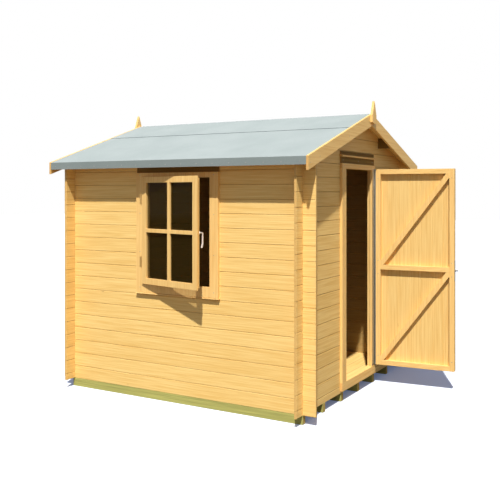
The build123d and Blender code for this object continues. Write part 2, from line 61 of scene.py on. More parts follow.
camera_data = bpy.data.cameras.new("camera")
camera_data.sensor_width = 36
camera_data.lens = LENS
camera_data.shift_y = (HORIZON_ROW - IMAGE_SIZE / 2) / IMAGE_SIZE
camera = bpy.data.objects.new("camera", camera_data)
camera.location = EYE
camera.rotation_euler = (math.radians(90), 0, math.radians(-LOOKING_RIGHT_OF_BACK))
bpy.context.scene.collection.objects.link(camera)
bpy.context.scene.camera = camera
bpy.context.scene.view_settings.view_transform = "Standard"
print("camera shift:", round(camera_data.shift_y, 4))

# %% [markdown]
# Two helpers carry the whole file. Colours are written the way a paint chart or a picture editor
# gives them, as sRGB hex values, but shaders add up light, so they need linear values: one function
# turns the first into the second. The other adds a node to a material, with its settings and links
# in one line, so that each material reads as a short list of what its surface does. Four small ones
# build on them: a new material, a mix of two colours, a place on a surface, and the surface itself.

# %% Helpers for colours and nodes
def linear(hex_colour):
    """The linear RGBA of an sRGB hex colour such as #E5BC77."""
    channels = [int(hex_colour[start:start + 2], 16) / 255 for start in (1, 3, 5)]
    return [c / 12.92 if c <= 0.04045 else ((c + 0.055) / 1.055) ** 2.4 for c in channels] + [1.0]


def add(tree, kind, inputs=None, **settings):
    """Adds a node. An input is given by name or number, and is a value or a socket to link."""
    node = tree.nodes.new(kind)
    for name, value in settings.items():
        setattr(node, name, value)
    for key, value in (inputs or {}).items():
        if isinstance(value, bpy.types.NodeSocket):
            tree.links.new(value, node.inputs[key])
        else:
            node.inputs[key].default_value = value
    return node


def new_material(name):
    """An empty node material and its tree."""
    material = bpy.data.materials.new(name)
    material.use_nodes = True
    material.node_tree.nodes.clear()
    return material, material.node_tree


# Sockets of the Mix node when it mixes colours
MIX_FACTOR = 0
MIX_A = 6
MIX_B = 7
MIX_RESULT = 2


def blend(tree, share, first, second):
    """The mix of two colours. A colour is a hex value or a socket."""
    first, second = [linear(c) if isinstance(c, str) else c for c in (first, second)]
    return add(tree, "ShaderNodeMix", {MIX_FACTOR: share, MIX_A: first, MIX_B: second},
               data_type="RGBA").outputs[MIX_RESULT]


def position(tree):
    """The place of a surface point on its object, in metres."""
    return add(tree, "ShaderNodeTexCoord").outputs["Object"]


def finish_surface(tree, look):
    """Gives a material its one physical surface."""
    skin = add(tree, "ShaderNodeBsdfPrincipled", look)
    add(tree, "ShaderNodeOutputMaterial", {"Surface": skin.outputs[0]})


print("mid grey #808080 in linear light:", round(linear("#808080")[0], 3))

# %% [markdown]
# The light is one sun and a pale sky. The sun stands to the left and 57 degrees high, so that it
# falls squarely on the window wall, skims the door gable, and draws the shadow of the eaves on the
# logs. Its disc is made wider than the real one, as a softbox would be. The sky is a little blue,
# and brighter on the sun's side. The haze there is a lighting choice: it makes the shade under the
# eaves lighter than the shade in the gable, as it is in the picture. Sun and sky together light
# the window wall so that its colours come out about as they are written.

# %% Sun and sky
SUN_HEIGHT = math.radians(57)
SUN_COURSE = Vector((0.912, 0.411, 0))
SUN_STRENGTH = 4.9
SUN_COLOUR = "#FFFBF4"
SUN_WIDTH = math.radians(1.1)
SKY_COLOUR = "#E0E3F2"
SKY_STRENGTH = 0.27
HAZE_COLOUR = "#FFF8EE"
HAZE_STRENGTH = 0.36
HAZE_NARROWNESS = 4
SEEN_WHITE = 1.0
MIRRORED_WHITE = 0.85

sun_data = bpy.data.lights.new("sun", "SUN")
sun_data.energy = SUN_STRENGTH
sun_data.color = linear(SUN_COLOUR)[:3]
sun_data.angle = SUN_WIDTH
sun = bpy.data.objects.new("sun", sun_data)
ray = SUN_COURSE.normalized() * math.cos(SUN_HEIGHT) - Vector((0, 0, math.sin(SUN_HEIGHT)))
sun.rotation_euler = ray.to_track_quat("-Z", "Y").to_euler()
bpy.context.scene.collection.objects.link(sun)

world = bpy.data.worlds.new("studio")
bpy.context.scene.world = world
world.use_nodes = True
sky = world.node_tree
sky.nodes.clear()
seen = add(sky, "ShaderNodeLightPath")
blue = add(sky, "ShaderNodeBackground", {"Color": linear(SKY_COLOUR), "Strength": SKY_STRENGTH})
direction = add(sky, "ShaderNodeTexCoord")
sunward = add(sky, "ShaderNodeVectorMath", {0: direction.outputs["Generated"],
                                            1: -SUN_COURSE.normalized()},
              operation="DOT_PRODUCT")
ahead = add(sky, "ShaderNodeMath", {0: sunward.outputs["Value"], 1: 0.0}, operation="MAXIMUM")
lobe = add(sky, "ShaderNodeMath", {0: ahead.outputs[0], 1: HAZE_NARROWNESS}, operation="POWER")
glow = add(sky, "ShaderNodeMath", {0: lobe.outputs[0], 1: HAZE_STRENGTH}, operation="MULTIPLY")
haze = add(sky, "ShaderNodeBackground", {"Color": linear(HAZE_COLOUR),
                                         "Strength": glow.outputs[0]})
fill = add(sky, "ShaderNodeAddShader", {0: blue.outputs[0], 1: haze.outputs[0]})
mirrored = add(sky, "ShaderNodeBackground", {"Color": linear("#FFFFFF"),
                                             "Strength": MIRRORED_WHITE})
white = add(sky, "ShaderNodeBackground", {"Color": linear("#FFFFFF"), "Strength": SEEN_WHITE})
in_mirror = add(sky, "ShaderNodeMixShader", {0: seen.outputs["Is Glossy Ray"], 1: fill.outputs[0],
                                             2: mirrored.outputs[0]})
through = add(sky, "ShaderNodeMixShader", {0: seen.outputs["Is Transmission Ray"],
                                           1: in_mirror.outputs[0], 2: white.outputs[0]})
to_eye = add(sky, "ShaderNodeMixShader", {0: seen.outputs["Is Camera Ray"], 1: through.outputs[0],
                                          2: white.outputs[0]})
add(sky, "ShaderNodeOutputWorld", {"Surface": to_eye.outputs[0]})
print("sun strength:", SUN_STRENGTH, "and sky strength:", SKY_STRENGTH)

# %% [markdown]
# The floor is a plain white sheet. Seen directly it is nearly pure white, so that it runs into the
# background with no line and only the cabin's shadow is left on it. Light that bounces from it to
# the cabin sees a greyer floor, or the white would fill every shadow under the eaves from below.
# A little blue is added to what the eye sees of it, which the sun drowns and the shadow keeps.

# %% Floor
FLOOR_REACH = 40
FLOOR_SEEN = "#E6EEFC"
FLOOR_BOUNCE = "#73706A"
SHADE_TINT = "#88A4DA"
SHADE_LIFT = 0.22

floor_mesh = bpy.data.meshes.new("studio_floor")
corners = [(-FLOOR_REACH, -FLOOR_REACH, 0), (FLOOR_REACH, -FLOOR_REACH, 0),
           (FLOOR_REACH, FLOOR_REACH, 0), (-FLOOR_REACH, FLOOR_REACH, 0)]
floor_mesh.from_pydata(corners, [], [(0, 1, 2, 3)])
studio_floor = bpy.data.objects.new("studio_floor", floor_mesh)
bpy.context.scene.collection.objects.link(studio_floor)

paper, tree = new_material("white_background_paper")
seen = add(tree, "ShaderNodeLightPath")
tone = blend(tree, seen.outputs["Is Camera Ray"], FLOOR_BOUNCE, FLOOR_SEEN)
matt = add(tree, "ShaderNodeBsdfDiffuse", {"Color": tone})
seen_lift = add(tree, "ShaderNodeMath", {0: seen.outputs["Is Camera Ray"], 1: SHADE_LIFT},
                operation="MULTIPLY")
lift = add(tree, "ShaderNodeEmission", {"Color": linear(SHADE_TINT),
                                        "Strength": seen_lift.outputs[0]})
paper_skin = add(tree, "ShaderNodeAddShader", {0: matt.outputs[0], 1: lift.outputs[0]})
add(tree, "ShaderNodeOutputMaterial", {"Surface": paper_skin.outputs[0]})
floor_mesh.materials.append(paper)
print("floor made, metres across:", 2 * FLOOR_REACH)

# %% [markdown]
# Planed Nordic spruce, left unpainted. Its pale summer wood and darker autumn wood show as long
# streaks along the board, because the saw cuts the growth rings at a shallow angle. Four things
# make it read as wood: streaks forty or more times longer than they are wide, a small change of
# tone from one board to the next, darker end grain where a log is cut across, and the dark line
# where two boards meet. That line is real shade in the V between them, too narrow for a picture at
# this distance to keep, so shade is also painted into the bottom of each V. Real rings lie 1 to
# 3 mm apart, too fine to show from here, so they are drawn 5 mm apart and mixed with coarser
# streaks. Counted down a wall, the dark bands of the picture lie about 26 mm apart, and these do
# too. The wood has no varnish, so it is matt: roughness 0.62, and an IOR of 1.5 like most wood.
# Inside the room the same wood is toned darker, as painted shade. That is a choice for the picture
# and no property of the wood: with walls as pale as outside, the room came out lighter than the
# picture has it.

# %% Sizes and colours of the wood
ALONG_X = 0
ALONG_Y = 1
ALONG_Z = 2
RING_SPACING = 5 * MM
RING_LENGTH = 450 * MM
# The size given to the noise. The bands it makes lie farther apart than this
STREAK_SIZE = 9 * MM
STREAK_LENGTH = 400 * MM
CLOUD_WIDTH = 90 * MM
CLOUD_LENGTH = 1100 * MM
RINGS_SHARE = 0.2
CLOUDS_SHARE = 0.12
FIGURE_LOW = 0.38
FIGURE_HIGH = 0.65
RING_RELIEF = 0.4 * MM
RING_RELIEF_STRENGTH = 0.25
KNOT_PITCH_ALONG = 520 * MM
KNOT_PITCH_ACROSS = 150 * MM
KNOT_SIZE = 0.055
KNOT_COLOUR = "#8A5526"
END_GRAIN_FROM = 0.8
END_GRAIN_SHARE = 0.45
END_GRAIN_COLOUR = "#C08A48"
# Painted shade at the bottom of each V between boards: how far it reaches, its core and its colour
SEAM_REACH = 4.5 * MM
SEAM_CORE = 1.5 * MM
SEAM_SHADE_COLOUR = "#9A6A24"
BOARD_SHIFT = 9.0
WOOD_IOR = 1.5
# The painted shade inside the room: the inner faces of the walls, how much it darkens, its colour
ROOM_HALF_WIDTH = 1083 * MM
ROOM_HALF_DEPTH = 1128 * MM
ROOM_PAINTED_SHADE = 0.62
ROOM_SHADE_COLOUR = "#7A5A2E"
print("a ring is drawn", round(RING_LENGTH / RING_SPACING), "times longer than wide")

# %% [markdown]
# The wood is put together from parts: a noise stretched along the board, the boards with the
# painted shade in their seams, and the painted shade that tones the room darker.

# %% Parts of the wood
def stretched(tree, place, along, across_size, along_size):
    """Coordinates that repeat every across_size metres, and every along_size along one axis."""
    scale = [1 / across_size] * 3
    scale[along] = 1 / along_size
    return add(tree, "ShaderNodeMapping", {"Vector": place, "Scale": scale}).outputs[0]


def grain(tree, coordinates, detail, roughness, distortion=0.0):
    """A noise over stretched coordinates."""
    return add(tree, "ShaderNodeTexNoise", {
        "Vector": coordinates, "Scale": 1.0, "Detail": detail, "Roughness": roughness,
        "Distortion": distortion}).outputs[0]


def boards(tree, place, across, pitch, start, seam):
    """The place with each board's grain shifted, its tone, and the painted shade in its seams."""
    moved = add(tree, "ShaderNodeMath", {0: across, 1: start}, operation="SUBTRACT")
    counted = add(tree, "ShaderNodeMath", {0: moved.outputs[0], 1: pitch}, operation="DIVIDE")
    board = add(tree, "ShaderNodeMath", {0: counted.outputs[0]}, operation="FLOOR")
    lot = add(tree, "ShaderNodeTexWhiteNoise", {"W": board.outputs[0]}, noise_dimensions="1D")
    shift = add(tree, "ShaderNodeVectorMath", {0: lot.outputs["Color"], "Scale": BOARD_SHIFT},
                operation="SCALE")
    shifted = add(tree, "ShaderNodeVectorMath", {0: place, 1: shift.outputs[0]}, operation="ADD")
    to_joint = add(tree, "ShaderNodeMath", {0: moved.outputs[0], 1: pitch / 2},
                   operation="PINGPONG")
    in_seam_shade = add(tree, "ShaderNodeMapRange", {"Value": to_joint.outputs[0], "To Max": seam,
                                               "From Min": SEAM_REACH, "From Max": SEAM_CORE})
    return shifted.outputs[0], lot.outputs["Value"], in_seam_shade.outputs[0]


def inside_room(tree, split):
    """1 within the inner faces of the walls, and 0 beyond them."""
    within = 1.0
    for axis, wall_face in ((ALONG_X, ROOM_HALF_WIDTH), (ALONG_Y, ROOM_HALF_DEPTH)):
        off_middle = add(tree, "ShaderNodeMath", {0: split.outputs[axis]}, operation="ABSOLUTE")
        inside = add(tree, "ShaderNodeMath", {0: off_middle.outputs[0], 1: wall_face},
                     operation="LESS_THAN")
        within = add(tree, "ShaderNodeMath", {0: inside.outputs[0], 1: within},
                     operation="MULTIPLY").outputs[0]
    return within


# %% [markdown]
# The material lays these over one another: first the figure, then knots, end grain and the
# painted shade in the seams, and last the painted shade inside the room.

# %% The wood itself
def planed_wood(name, along, pale, dark, board_axis=None, board_pitch=None, board_start=0.0,
                roughness=0.62, knots=0.5, seam=0.5, change=0.05, room=False):
    """Planed timber whose grain runs along one axis, with a change of tone from board to board."""
    material, tree = new_material(name)
    surface = add(tree, "ShaderNodeTexCoord")
    place = surface.outputs["Object"]
    split = add(tree, "ShaderNodeSeparateXYZ", {0: place})
    board_tone, in_seam_shade = 0.5, 0.0
    if board_pitch:
        place, board_tone, in_seam_shade = boards(tree, place, split.outputs[board_axis], board_pitch,
                                            board_start, seam)

    clouds = grain(tree, stretched(tree, place, along, CLOUD_WIDTH, CLOUD_LENGTH), 3.0, 0.5)
    rings = grain(tree, stretched(tree, place, along, RING_SPACING, RING_LENGTH), 3.0, 0.7, 0.4)
    streaks = grain(tree, stretched(tree, place, along, STREAK_SIZE, STREAK_LENGTH), 2.0, 0.6, 0.2)
    figured = add(tree, "ShaderNodeMix", {0: RINGS_SHARE, 2: streaks, 3: rings})
    mixed = add(tree, "ShaderNodeMix", {0: CLOUDS_SHARE, 2: figured.outputs[0], 3: clouds})
    toned = add(tree, "ShaderNodeMix", {0: change, 2: mixed.outputs[0], 3: board_tone})
    depth = add(tree, "ShaderNodeMapRange", {"Value": toned.outputs[0], "From Min": FIGURE_LOW,
                                             "From Max": FIGURE_HIGH})
    colour = blend(tree, depth.outputs[0], pale, dark)

    knot = add(tree, "ShaderNodeTexVoronoi", {
        "Vector": stretched(tree, place, along, KNOT_PITCH_ACROSS, KNOT_PITCH_ALONG), "Scale": 1.0})
    in_knot = add(tree, "ShaderNodeMapRange", {"Value": knot.outputs["Distance"],
                                               "From Min": KNOT_SIZE, "From Max": KNOT_SIZE / 2,
                                               "To Max": knots}, interpolation_type="SMOOTHSTEP")
    colour = blend(tree, in_knot.outputs[0], colour, KNOT_COLOUR)

    facing = add(tree, "ShaderNodeSeparateXYZ", {0: surface.outputs["Normal"]})
    lengthways = add(tree, "ShaderNodeMath", {0: facing.outputs[along]}, operation="ABSOLUTE")
    at_end = add(tree, "ShaderNodeMath", {0: lengthways.outputs[0], 1: END_GRAIN_FROM},
                 operation="GREATER_THAN")
    end_share = add(tree, "ShaderNodeMath", {0: at_end.outputs[0], 1: END_GRAIN_SHARE},
                    operation="MULTIPLY")
    colour = blend(tree, end_share.outputs[0], colour, END_GRAIN_COLOUR)
    # Painted shade in the V between boards: the wood there is blended towards a darker colour
    colour = blend(tree, in_seam_shade, colour, SEAM_SHADE_COLOUR)
    # Painted shade inside the room: the wood there is blended towards a darker colour
    if room:
        dull = add(tree, "ShaderNodeMath", {0: inside_room(tree, split), 1: ROOM_PAINTED_SHADE},
                   operation="MULTIPLY")
        colour = blend(tree, dull.outputs[0], colour, ROOM_SHADE_COLOUR)
    relief = add(tree, "ShaderNodeBump", {"Height": rings, "Strength": RING_RELIEF_STRENGTH,
                                          "Distance": RING_RELIEF})
    finish_surface(tree, {"Base Color": colour, "Roughness": roughness, "IOR": WOOD_IOR,
                          "Normal": relief.outputs[0]})
    return material


# %% [markdown]
# The logs are one course of 115 mm each, and those of the gables lie half a course higher. The
# colours of logs, trim and door boards differ by a shade, each tuned to its part of the picture.

# %% The spruce materials
COURSE = 115 * MM
LOG_PALE = "#FCD98D"
LOG_DARK = "#EABE6C"
TRIM_PALE = "#FAD389"
TRIM_DARK = "#EBBC70"

logs_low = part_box("wall_window_side")[0].z
side_logs = planed_wood("planed_spruce_side_logs", ALONG_Y, LOG_PALE, LOG_DARK, ALONG_Z, COURSE,
                        logs_low, seam=0.3, room=True)
gable_logs = planed_wood("planed_spruce_gable_logs", ALONG_X, LOG_PALE, LOG_DARK, ALONG_Z, COURSE,
                         logs_low + COURSE / 2, room=True)
upright_trim = planed_wood("planed_spruce_uprights", ALONG_Z, TRIM_PALE, TRIM_DARK, knots=0.2)
across_trim = planed_wood("planed_spruce_crosspieces", ALONG_X, TRIM_PALE, TRIM_DARK, knots=0.2)
side_trim = planed_wood("planed_spruce_side_pieces", ALONG_Y, TRIM_PALE, TRIM_DARK, knots=0.2)
print("spruce materials made")

# %% Hand the spruce to the logs, the roof timbers and the joinery
FLOOR_BOARD = 120 * MM
ROOF_BOARD = 96 * MM
DOOR_BOARD = 100 * MM
DOOR_PALE = "#F4D188"
DOOR_DARK = "#E4B86A"
DOOR_TURN_PAST_SQUARE = math.radians(5)
DOOR_BOARD_EDGE = 2 * MM
inner_boards = planed_wood("planed_spruce_roof_boards", ALONG_X, LOG_PALE, LOG_DARK, ALONG_Y,
                           ROOF_BOARD, room=True)
floor_boards = planed_wood("planed_spruce_floor_boards", ALONG_X, LOG_PALE, LOG_DARK, ALONG_Y,
                           FLOOR_BOARD)
door_boarding = planed_wood("planed_spruce_door_boards", ALONG_Z, DOOR_PALE, DOOR_DARK, ALONG_Y,
                            DOOR_BOARD * math.cos(DOOR_TURN_PAST_SQUARE),
                            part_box("door_boards")[1].y - DOOR_BOARD_EDGE, knots=0.2, seam=0.0,
                            change=0.04)


def finish_with(material, *names):
    """Gives a material to pieces of the frame."""
    for name in names:
        slots = nodes[name].data.materials
        slots.clear()
        slots.append(material)


finish_with(side_logs, "wall_window_side", "wall_blank_side")
finish_with(gable_logs, "wall_back", "front_bottom_log", "wall_front_left", "wall_front_right",
            "wall_front_gable")
finish_with(side_trim, "ridge_beam", "fascia_window_side", "fascia_blank_side", "window_sill",
            "door_ledges")
finish_with(across_trim, "bargeboards_front", "bargeboards_back", "door_head", "threshold",
            "drip_strip")
finish_with(upright_trim, "finial_front", "finial_back", "door_jamb_left", "door_jamb_right",
            "door_stiles", "door_braces", "window_frame", "window_casement")
finish_with(inner_boards, "roof_boards_window_side", "roof_boards_blank_side")
finish_with(floor_boards, "floor")
finish_with(door_boarding, "door_boards")
print("spruce handed out")

# %% [markdown]
# Over the door and the window the picture shows a dark brown band. It cannot be told whether that
# is a strip of wood or an open gap, which a wall of logs needs there to sink as it dries. It is
# made as a strip of deep brown wood, the plainest reading, and is the darkest wood on the cabin.
# The one purlin that can be seen looks as brown, so both are made of it. On the purlins this deep
# brown is painted shade, the shade under the roof.

# %% Deep brown cover strips, and painted shade on the purlins
DEEP_BROWN_PALE = "#8A6C2E"
DEEP_BROWN_DARK = "#6C5420"
deep_brown_across = planed_wood("deep_brown_spruce_over_the_door", ALONG_X, DEEP_BROWN_PALE, DEEP_BROWN_DARK,
                             roughness=0.9, knots=0.2)
deep_brown_side = planed_wood("deep_brown_spruce_over_the_window", ALONG_Y, DEEP_BROWN_PALE, DEEP_BROWN_DARK,
                           roughness=0.9, knots=0.2)
finish_with(deep_brown_across, "door_cover_strip")
# On the purlins this deep brown is painted shade
finish_with(deep_brown_side, "window_cover_strip", "purlin_window_side", "purlin_blank_side")
print("browned strips and purlins done")

# %% [markdown]
# The bearers are dull green, which is the colour that copper preservative leaves, so they are taken
# to be pressure-treated: sawn softwood, rougher than the planed logs. The stain is made uneven,
# because sapwood drinks more of it than heartwood.

# %% Pressure-treated bearers
TREATED_PALE = "#BEBC6C"
TREATED_DARK = "#9A9854"
treated = planed_wood("pressure_treated_sawn_softwood", ALONG_Y, TREATED_PALE, TREATED_DARK,
                      roughness=0.8, knots=0.3)
bearers = [name for name in nodes if name.startswith("bearer_")]
finish_with(treated, *bearers)
print("bearers:", len(bearers))

# %% [markdown]
# Mineral felt is bitumen sheet rolled in crushed slate. The slate grit is about 1 mm across and
# gives the pale grey green; the felt itself has no shine. At this distance single grains would only
# flicker, so the grit is drawn 5 mm across, with wide faint patches. The fold at the eaves is toned
# darker and greener, because it looks so in the picture; the cause is not known.

# %% Roofing felt
GRIT = 5 * MM
PATCH = 320 * MM
FELT_PALE = "#A4AFB1"
FELT_DARK = "#97A3A5"
FOLD_TONE = 0.4
FOLD_COLOUR = "#4C5A55"
felt, tree = new_material("slate_mineral_roofing_felt")
place = position(tree)
grit = add(tree, "ShaderNodeTexNoise", {"Vector": place, "Scale": 1 / GRIT, "Detail": 2.0})
patches = add(tree, "ShaderNodeTexNoise", {"Vector": place, "Scale": 1 / PATCH, "Detail": 3.0})
grains = add(tree, "ShaderNodeMix", {0: 0.5, 2: grit.outputs[0], 3: patches.outputs[0]})
grade = add(tree, "ShaderNodeMapRange", {"Value": grains.outputs[0], "From Min": 0.35,
                                         "From Max": 0.65})
slate = blend(tree, grade.outputs[0], FELT_DARK, FELT_PALE)
facing = add(tree, "ShaderNodeSeparateXYZ", {0: add(tree, "ShaderNodeTexCoord").outputs["Normal"]})
steep = add(tree, "ShaderNodeMapRange", {"Value": facing.outputs[ALONG_Z], "From Min": 0.6,
                                         "From Max": 0.2, "To Max": FOLD_TONE})
tooth = add(tree, "ShaderNodeBump", {"Height": grit.outputs[0], "Strength": 0.5,
                                     "Distance": 0.8 * MM})
finish_surface(tree, {"Base Color": blend(tree, steep.outputs[0], slate, FOLD_COLOUR),
                      "Roughness": 0.92, "Normal": tooth.outputs[0]})
finish_with(felt, "felt_window_side", "felt_blank_side", "felt_ridge")
print("felt done, grit drawn at mm:", round(GRIT / MM))

# %% [markdown]
# Ironmongery for sheds is mild steel with a thin zinc plating. It is a metal, but a dull one: fine
# spangle and handling marks blur what it mirrors, so its roughness is about 0.4 and uneven.

# %% Zinc-plated steel
SPANGLE = 9 * MM
zinc, tree = new_material("zinc_plated_mild_steel")
spangle = add(tree, "ShaderNodeTexVoronoi", {"Vector": position(tree), "Scale": 1 / SPANGLE})
dulled = add(tree, "ShaderNodeMapRange", {"Value": spangle.outputs["Distance"], "To Min": 0.34,
                                          "To Max": 0.5})
finish_surface(tree, {"Base Color": blend(tree, spangle.outputs["Distance"], "#B4B5B2", "#9D9E9C"),
                      "Metallic": 1.0, "Roughness": dulled.outputs[0]})
finish_with(zinc, "door_hinge", "door_hinge_flap", "door_lock", "door_pull")
print("zinc done")

# %% [markdown]
# The two butt hinges of the window are nearly the colour of the wood around them, so they are taken
# to be steel with a brass plating. A brushed plating spreads its shine a little.

# %% Brass-plated butt hinges
BRUSH_WIDTH = 2 * MM
BRUSH_LENGTH = 60 * MM
brass, tree = new_material("brass_plated_steel")
brushed = add(tree, "ShaderNodeTexNoise", {
    "Vector": stretched(tree, position(tree), ALONG_Z, BRUSH_WIDTH, BRUSH_LENGTH), "Scale": 1.0})
finish_surface(tree, {"Base Color": blend(tree, brushed.outputs[0], "#F2C985", "#E0B46C"),
                      "Metallic": 1.0, "Roughness": 0.45})
finish_with(brass, "window_hinges")
print("butt hinges done")

# %% [markdown]
# The lever of the window stays pale in the shade of the casement, where a bare metal would mirror
# the dark. So it is taken to be a zinc casting under a silver-white lacquer.

# %% Lacquered window lever
LACQUER_RIPPLE = 6 * MM
lacquer, tree = new_material("silver_lacquered_zinc_casting")
ripple = add(tree, "ShaderNodeTexNoise", {"Vector": position(tree), "Scale": 1 / LACQUER_RIPPLE})
finish_surface(tree, {"Base Color": blend(tree, ripple.outputs[0], "#F4EFEC", "#E2DCD8"),
                      "Roughness": 0.35})
finish_with(lacquer, "window_fastener")
print("lever done")

# %% [markdown]
# Clear float glass, taken to be 4 mm thick. The room behind is unlit, so the panes look nearly
# black from outside. The picture has them a little brown, and the glass is tinted to match. Flat
# thin glass bends no light that the eye could notice, so it is made as a film: a low alpha lets
# the sun through to the frame behind it, which a solid refracting pane would leave in shadow.

# %% Float glass
glass, tree = new_material("clear_float_glass")
finish_surface(tree, {"Base Color": linear("#30270A"), "Roughness": 0.03, "IOR": 1.52,
                      "Alpha": 0.36, "Specular IOR Level": 0.08})
finish_with(glass, "window_glass")
print("glass done")

# %% [markdown]
# Small pieces come next. Each one is drawn into an empty mesh with bmesh, then turned into an
# object that rides on the cabin or on its door. Two helpers do that: one adds a block between two
# corners, turned about the upright or about the length of the cabin where it has to be, and the
# other wraps up the mesh.

# %% Helpers for small pieces
def add_block(mesh, low, high, turn=None):
    """Adds a block between two corners to a bmesh, and then turns it by a matrix."""
    low, high = Vector(low), Vector(high)
    place = Matrix.Translation((low + high) / 2) @ Matrix.Diagonal((*(high - low), 1))
    if turn is not None:
        place = turn @ place
    bmesh.ops.create_cube(mesh, size=1, matrix=place)


def new_piece(name, mesh, material, body):
    """Turns a bmesh into a piece of the cabin with one material."""
    data = bpy.data.meshes.new(name)
    mesh.to_mesh(data)
    mesh.free()
    data.materials.append(material)
    piece = bpy.data.objects.new(name, data)
    bpy.context.scene.collection.objects.link(piece)
    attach(piece, body)
    return piece


print("helpers for small pieces ready")

# %% [markdown]
# Logs like these usually have a tongue along the top that fills a groove in the log above. Nothing
# of it shows, so it is assumed here. It keeps daylight out: without it, the joints would shine as
# bright lines inside the room. It is drawn as a strip buried across each joint.

# %% Tongues in the log joints
TONGUE_THICKNESS = 7 * MM
TONGUE_HEIGHT = 14 * MM
TONGUE_SHORT = 12 * MM
FRAME_OVERLAP = 25 * MM
GAP_OVER_WINDOW = 55 * MM
COURSES_BELOW_GABLE = 17
ROOF_PITCH = math.radians(18.1)
SLOPE = math.tan(ROOF_PITCH)


def run_of_tongues(mesh, wall, along, first_joint, gaps=(), gabled=False):
    """Adds a tongue across each joint of a wall, broken where the wall has an opening."""
    low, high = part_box(wall)
    across = 1 - along
    middle = (low[across] + high[across]) / 2
    joint = first_joint
    made = 0
    while joint < high.z - TONGUE_HEIGHT:
        if joint > low.z + TONGUE_HEIGHT / 2:
            left, right = low[along] + TONGUE_SHORT, high[along] - TONGUE_SHORT
            if gabled:
                reach = (high.z - joint - TONGUE_HEIGHT) / SLOPE - 2 * TONGUE_SHORT
                left, right = max(left, -reach), min(right, reach)
            runs = [(left, right)]
            for gap_low, gap_high, gap_bottom, gap_top in gaps:
                if gap_bottom - TONGUE_HEIGHT < joint < gap_top + TONGUE_HEIGHT:
                    runs = [(left, gap_low), (gap_high, right)]
            for run_left, run_right in runs:
                if run_right - run_left > TONGUE_HEIGHT:
                    corner_low = Vector((0, 0, joint - TONGUE_HEIGHT / 2))
                    corner_high = Vector((0, 0, joint + TONGUE_HEIGHT / 2))
                    corner_low[across] = middle - TONGUE_THICKNESS / 2
                    corner_high[across] = middle + TONGUE_THICKNESS / 2
                    corner_low[along], corner_high[along] = run_left, run_right
                    add_block(mesh, corner_low, corner_high)
                    made += 1
        joint += COURSE
    return made


frame_low, frame_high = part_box("window_frame")
window_gap = [(frame_low.y + FRAME_OVERLAP, frame_high.y - FRAME_OVERLAP,
               frame_low.z + FRAME_OVERLAP, frame_high.z + GAP_OVER_WINDOW)]
gable_start = logs_low + COURSE / 2
tongues = bmesh.new()
count = run_of_tongues(tongues, "wall_window_side", ALONG_Y, logs_low, window_gap)
count += run_of_tongues(tongues, "wall_blank_side", ALONG_Y, logs_low)
count += run_of_tongues(tongues, "wall_back", ALONG_X, gable_start, gabled=True)
count += run_of_tongues(tongues, "wall_front_left", ALONG_X, gable_start)
count += run_of_tongues(tongues, "wall_front_right", ALONG_X, gable_start)
count += run_of_tongues(tongues, "wall_front_gable", ALONG_X,
                        gable_start + COURSES_BELOW_GABLE * COURSE, gabled=True)
new_piece("log_tongues", tongues, gable_logs, "cabin")
print("tongues in the joints:", count)

# %% [markdown]
# The dark band over the door goes on above the drip strip, where it is a line of shade. What it is
# there cannot be told either, so it is guessed to be a second, thinner strip of the same brown
# wood. A second, thinner strip of the same deep brown wood is put there as painted shade; its size
# is a guess.

# %% Upper strip of painted shade
UPPER_SHADE_HEIGHT = 26 * MM
UPPER_SHADE_THICKNESS = 6 * MM
UPPER_SHADE_TRIM = 8 * MM
UPPER_SHADE_EASE = 1 * MM
drip_low, drip_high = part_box("drip_strip")
upper_shade_strip = bmesh.new()
add_block(upper_shade_strip, (drip_low.x + UPPER_SHADE_TRIM, drip_high.y - UPPER_SHADE_THICKNESS,
                        drip_high.z),
          (drip_high.x - UPPER_SHADE_TRIM, drip_high.y, drip_high.z + UPPER_SHADE_HEIGHT))
bmesh.ops.bevel(upper_shade_strip, geom=upper_shade_strip.edges[:], offset=UPPER_SHADE_EASE, segments=1)
# A dark strip that is painted shade, for the line of shade above the drip strip
new_piece("upper_painted_shade_strip", upper_shade_strip, deep_brown_across, "cabin")
print("upper cover strip height in mm:", round(UPPER_SHADE_HEIGHT / MM))

# %% [markdown]
# A thin dark line divides the roof where one sheet of felt laps over the next. It is taken to be
# the bead of bitumen that squeezes out when the lap is stuck down.

# %% Bitumen bead along the laps
BEAD_WIDTH = 7 * MM
BEAD_HEIGHT = 2.6 * MM
LUMP = 12 * MM
bitumen, tree = new_material("oxidised_bitumen")
lumps = add(tree, "ShaderNodeTexNoise", {"Vector": position(tree), "Scale": 1 / LUMP})
finish_surface(tree, {"Base Color": blend(tree, lumps.outputs[0], "#5A6467", "#727C7F"),
                      "Roughness": 0.6})
cap_low, cap_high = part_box("felt_ridge")
beads = bmesh.new()
for side in (-1, 1):
    edge = Vector((side * (cap_high.x + BEAD_WIDTH / 2 * math.cos(ROOF_PITCH)), 0,
                   cap_low.z - BEAD_WIDTH / 2 * math.sin(ROOF_PITCH)))
    turn = Matrix.Translation(edge) @ Matrix.Rotation(side * ROOF_PITCH, 4, "Y")
    add_block(beads, (-BEAD_WIDTH / 2, cap_low.y, 0), (BEAD_WIDTH / 2, cap_high.y, BEAD_HEIGHT),
              turn)
new_piece("lap_bitumen", beads, bitumen, "cabin")
print("a bitumen bead lies along the lap on each slope")

# %% [markdown]
# Fixings tell the size of a thing better than any other detail. They are too small to be seen in
# the picture, so these are the usual ones in their usual places: clout nails with broad flat heads
# 150 mm apart along the fold of the felt, screws in the boards round the window and the door, and
# nails with small heads through the door's boards. One helper adds a low round head on any face;
# each kind of fixing is then a list of places.

